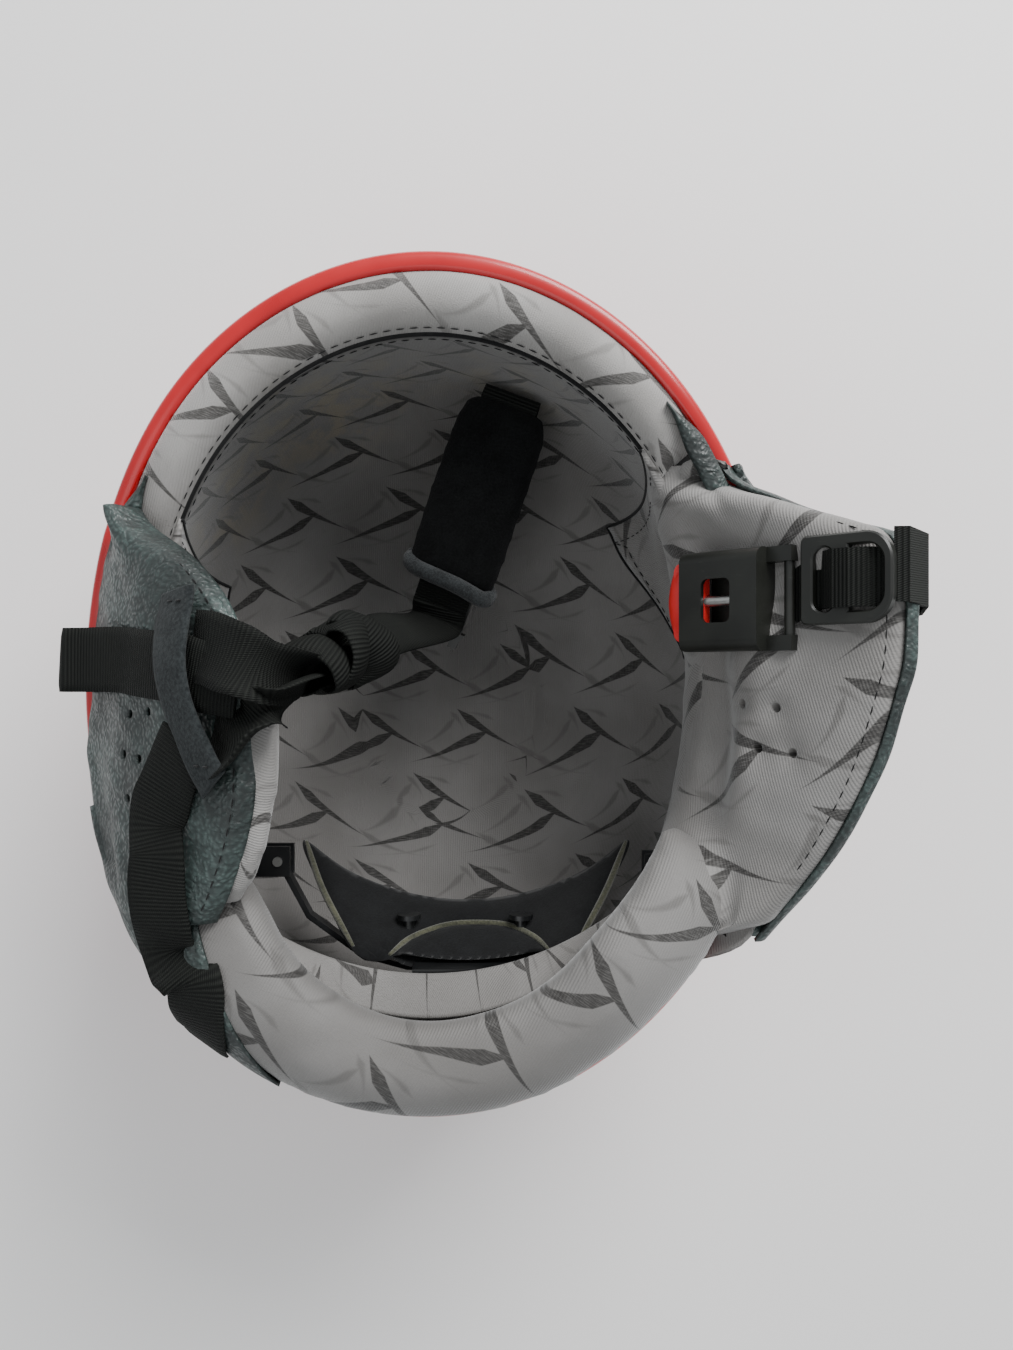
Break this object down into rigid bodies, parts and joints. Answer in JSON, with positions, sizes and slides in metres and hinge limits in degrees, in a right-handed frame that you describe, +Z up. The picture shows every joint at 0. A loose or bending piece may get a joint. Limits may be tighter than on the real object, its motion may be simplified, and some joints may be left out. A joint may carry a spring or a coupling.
{
  "type": "ski helmet",
  "caption": "Soft-ear ski helmet with a rigid shell, padded liner, folding ear flaps, chin strap with a push-button buckle and a wheel size adjuster, lying on its crown.",
  "frame": {"origin": "the point of the crown that touches the table when the helmet lies upside down", "axes": "+Z up out of the head opening, -Y towards the forehead, +X towards the wearer's right (the helmet is upside down)"},
  "size_m": [0.255, 0.2883, 0.1825],
  "materials": {
    "shell_red": "glossy injection-moulded shell",
    "foam": "moulded bead foam",
    "printed_fabric": "brushed knit with a printed blade pattern",
    "leather": "pebbled synthetic leather",
    "webbing": "ribbed nylon webbing",
    "suede": "napped suede",
    "fleece": "brushed fleece",
    "neoprene": "fabric-faced neoprene",
    "buckle_plastic": "moulded, satin",
    "button_red": "moulded, satin",
    "black_plastic": "moulded, satin",
    "clip_rubber": "matt",
    "steel": "plated"
  },
  "bodies": {
    "root": {"outer_shell": "shell_red", "eps_liner": "foam", "crown_liner": "printed_fabric", "brow_pad": "printed_fabric", "neck_roll": "printed_fabric", "temple_pad_left": "printed_fabric", "temple_pad_right": "printed_fabric", "ear_pad_base_left": "printed_fabric", "ear_pad_base_right": "printed_fabric", "ear_pad_studs": "black_plastic", "strap_anchor_front_left": "webbing", "strap_anchor_front_right": "webbing", "strap_anchor_rear_left": "webbing", "strap_anchor_rear_right": "webbing", "strap_rivets": "steel", "rivet_washers": "steel", "fit_bracket_left": "black_plastic", "fit_bracket_right": "black_plastic", "fit_pin_left": "steel", "fit_pin_right": "steel", "goggle_clip_base": "black_plastic", "goggle_clip_pin": "steel"},
    "flap_right": {"ear_flap_right": "printed_fabric", "ear_flap_cover_right": "leather", "strap_front_right": "webbing", "strap_rear_right": "webbing", "strap_keeper_right": "suede"},
    "flap_left": {"ear_flap_left": "printed_fabric", "ear_flap_cover_left": "leather", "strap_front_left": "webbing", "strap_rear_left": "webbing"},
    "chin_strap": {"chin_strap": "webbing"},
    "chin_end": {"chin_strap_end": "webbing", "plug_strap_loop": "webbing"},
    "chin_pad": {"chin_pad": "fleece"},
    "plug": {"buckle_plug": "buckle_plastic"},
    "slider": {"strap_slider": "buckle_plastic", "strap_end_left": "webbing"},
    "buckle": {"buckle_body": "buckle_plastic", "buckle_spring": "steel"},
    "button": {"buckle_button": "button_red", "buckle_latch": "steel"},
    "fit_carriage": {"fit_housing": "black_plastic", "fit_housing_cover": "black_plastic", "fit_pad": "neoprene", "fit_pad_studs": "black_plastic"},
    "fit_wheel": {"fit_wheel": "black_plastic"},
    "fit_band_left": {"fit_band_left": "black_plastic"},
    "fit_band_right": {"fit_band_right": "black_plastic"},
    "goggle_clip": {"goggle_clip_arm": "clip_rubber"}
  },
  "joints": [
    {"name": "ear_flap_right_fold", "type": "hinge", "parent": "root", "child": "flap_right", "pos_m": [0.09, 0, 0.131], "axis": [0, 1, 0], "range_deg": [0, 60]},
    {"name": "ear_flap_left_fold", "type": "hinge", "parent": "root", "child": "flap_left", "pos_m": [-0.09, 0, 0.131], "axis": [0, 1, 0], "range_deg": [0, 60]},
    {"name": "chin_strap_swing", "type": "hinge", "parent": "flap_right", "child": "chin_strap", "pos_m": [0.0445, -0.0125, 0.1795], "axis": [0.817, -0.5767, 0], "range_deg": [0, 25]},
    {"name": "chin_end_fold", "type": "hinge", "parent": "chin_strap", "child": "chin_end", "pos_m": [0.0007, -0.0405, 0.07929], "axis": [-0.9379, 0.3468, 0], "range_deg": [0, 40]},
    {"name": "chin_pad_slide", "type": "slide", "parent": "chin_end", "child": "chin_pad", "axis": [0.3336, 0.9023, -0.273], "range_m": [0, 0.008]},
    {"name": "buckle_plug_swing", "type": "hinge", "parent": "chin_end", "child": "plug", "pos_m": [-0.00705, -0.06144, 0.07679], "axis": [-0.9379, 0.3468, 0], "range_deg": [0, 60]},
    {"name": "strap_end_lift", "type": "hinge", "parent": "flap_left", "child": "slider", "pos_m": [-0.12755, -0.043, 0.17982], "axis": [0, -1, 0], "range_deg": [0, 40]},
    {"name": "buckle_swing", "type": "hinge", "parent": "slider", "child": "buckle", "pos_m": [-0.10499, -0.0385, 0.15962], "axis": [0, -1, 0], "range_deg": [0, 50]},
    {"name": "buckle_button_press", "type": "slide", "parent": "buckle", "child": "button", "axis": [-0.6947, 0, 0.7193], "range_m": [0, 0.003], "stiffness_N_per_m": 300, "springref_m": -0.0005, "deforming": ["buckle_spring"]},
    {"name": "fit_carriage_slide", "type": "slide", "parent": "root", "child": "fit_carriage", "axis": [0, -1, 0], "range_m": [0, 0.0038]},
    {"name": "fit_wheel_turn", "type": "hinge", "parent": "fit_carriage", "child": "fit_wheel", "pos_m": [-0.01, 0.081, 0.116], "axis": [0, 1, 0], "range_deg": [0, 36.4]},
    {"name": "fit_band_left_pivot", "type": "hinge", "parent": "root", "child": "fit_band_left", "pos_m": [-0.072, 0.0455, 0.123], "axis": [0, 0, 1], "range_deg": [-3.6, 0]},
    {"name": "fit_band_right_pivot", "type": "hinge", "parent": "root", "child": "fit_band_right", "pos_m": [0.052, 0.0455, 0.109], "axis": [0, 0, 1], "range_deg": [0, 3.6]},
    {"name": "goggle_clip_open", "type": "hinge", "parent": "root", "child": "goggle_clip", "pos_m": [0, 0.136, 0.084], "axis": [1, 0, 0], "range_deg": [0, 70]}
  ],
  "couplings": [
    {"joint": "fit_wheel_turn", "follows": "fit_carriage_slide", "rad_per_m": 163.59},
    {"joint": "fit_band_left_pivot", "follows": "fit_carriage_slide", "rad_per_m": -16.129},
    {"joint": "fit_band_right_pivot", "follows": "fit_carriage_slide", "rad_per_m": 16.129}
  ]
}
